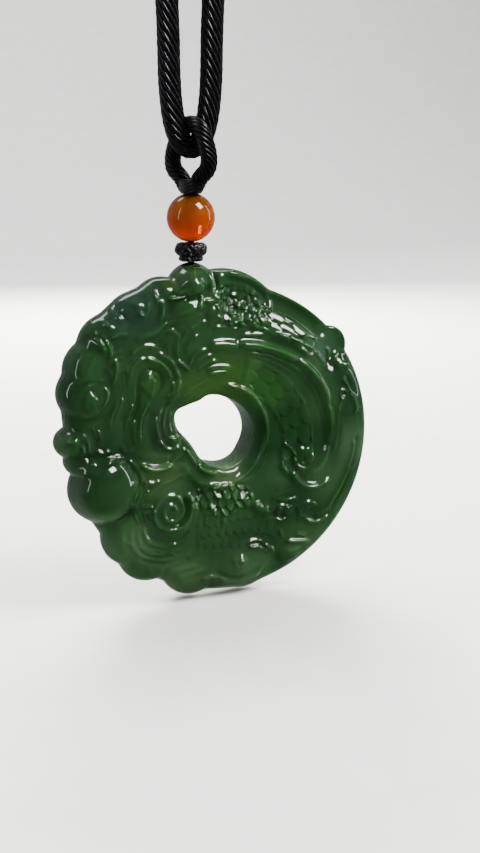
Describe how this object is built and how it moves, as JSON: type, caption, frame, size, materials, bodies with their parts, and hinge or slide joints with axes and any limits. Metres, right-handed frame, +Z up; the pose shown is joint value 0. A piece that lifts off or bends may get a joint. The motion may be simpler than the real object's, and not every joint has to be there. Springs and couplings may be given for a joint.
{
  "type": "jade pendant necklace",
  "caption": "Round carved jade pendant with a coiled dragon and a central hole, hung by a knot, a bead and a cord loop from a twisted necklace cord.",
  "frame": {"origin": "top of the necklace loop, where it hangs", "axes": "+Z up along the hanging necklace, -Y out of the carved front, +X to the viewer's right of the carved front"},
  "size_m": [0.0557, 0.0125, 0.278],
  "materials": {
    "jade": "polished",
    "carnelian": "polished",
    "knot_thread": "silky",
    "loop_cord": "silky",
    "necklace_cord": "silky",
    "clasp": "satin"
  },
  "bodies": {
    "necklace": {"necklace_cord": "necklace_cord", "cord_clasp": "clasp"},
    "pendant": {"bail_loop": "loop_cord", "carnelian_bead": "carnelian", "bead_thread": "knot_thread", "lower_knot": "knot_thread", "jade_dragon": "jade"}
  },
  "joints": [
    {"name": "pendant_swing", "type": "hinge", "parent": "necklace", "child": "pendant", "pos_m": [0, 0, -0.204], "axis": [1, 0, 0], "range_deg": [-40, 40]}
  ]
}
